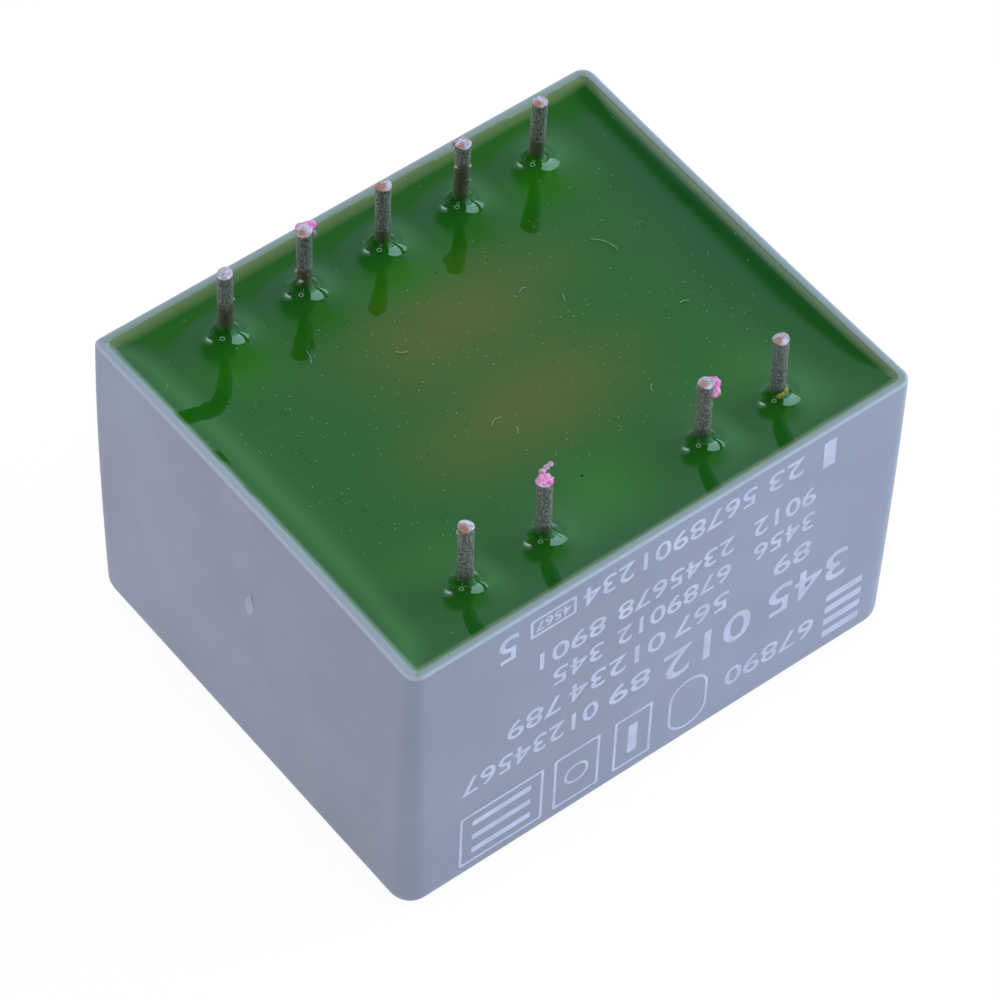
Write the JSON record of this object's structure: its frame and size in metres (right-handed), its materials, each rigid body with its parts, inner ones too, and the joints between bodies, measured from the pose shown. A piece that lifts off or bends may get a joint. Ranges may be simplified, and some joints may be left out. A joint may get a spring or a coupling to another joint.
{
  "type": "encapsulated transformer for a circuit board",
  "caption": "Small sealed transformer: a grey plastic box filled with glossy green resin, with two rows of round pins standing out of the open side.",
  "frame": {"origin": "under the centre of the case's closed face, on the surface it rests on", "axes": "+X along the rows of pins, +Y from the four-pin row to the five-pin row, +Z out of the open, resin-filled side"},
  "size_m": [0.0324, 0.0272, 0.0245],
  "materials": {
    "case_plastic": "satin lavender-grey moulded plastic",
    "green_resin": "glossy translucent green casting resin",
    "former_plastic": "natural moulded nylon",
    "core_steel": "punched silicon-steel sheet",
    "enamelled_copper": "enamelled copper wire",
    "winding_tape": "yellow polyester tape",
    "wire_sleeve": "insulating sleeve",
    "solder": "soft solder",
    "pin_metal": "dull grey solder-coated copper wire"
  },
  "bodies": {
    "root": {"case": "case_plastic", "potting_resin": "green_resin", "coil_former": "former_plastic", "e_laminations": "core_steel", "i_laminations": "core_steel", "solder_joints": "solder", "primary_winding": "enamelled_copper", "secondary_winding_1": "enamelled_copper", "secondary_winding_2": "enamelled_copper", "secondary_barrier": "winding_tape", "primary_tape": "winding_tape", "secondary_tape": "winding_tape", "pin_1": "pin_metal", "pin_2": "pin_metal", "pin_4": "pin_metal", "pin_5": "pin_metal", "pin_6": "pin_metal", "pin_7": "pin_metal", "pin_8": "pin_metal", "pin_9": "pin_metal", "pin_10": "pin_metal", "primary_wire_1": "wire_sleeve", "primary_wire_5": "wire_sleeve", "secondary_wire_6": "wire_sleeve", "secondary_wire_7": "wire_sleeve", "secondary_wire_9": "wire_sleeve", "secondary_wire_10": "wire_sleeve"}
  },
  "joints": []
}
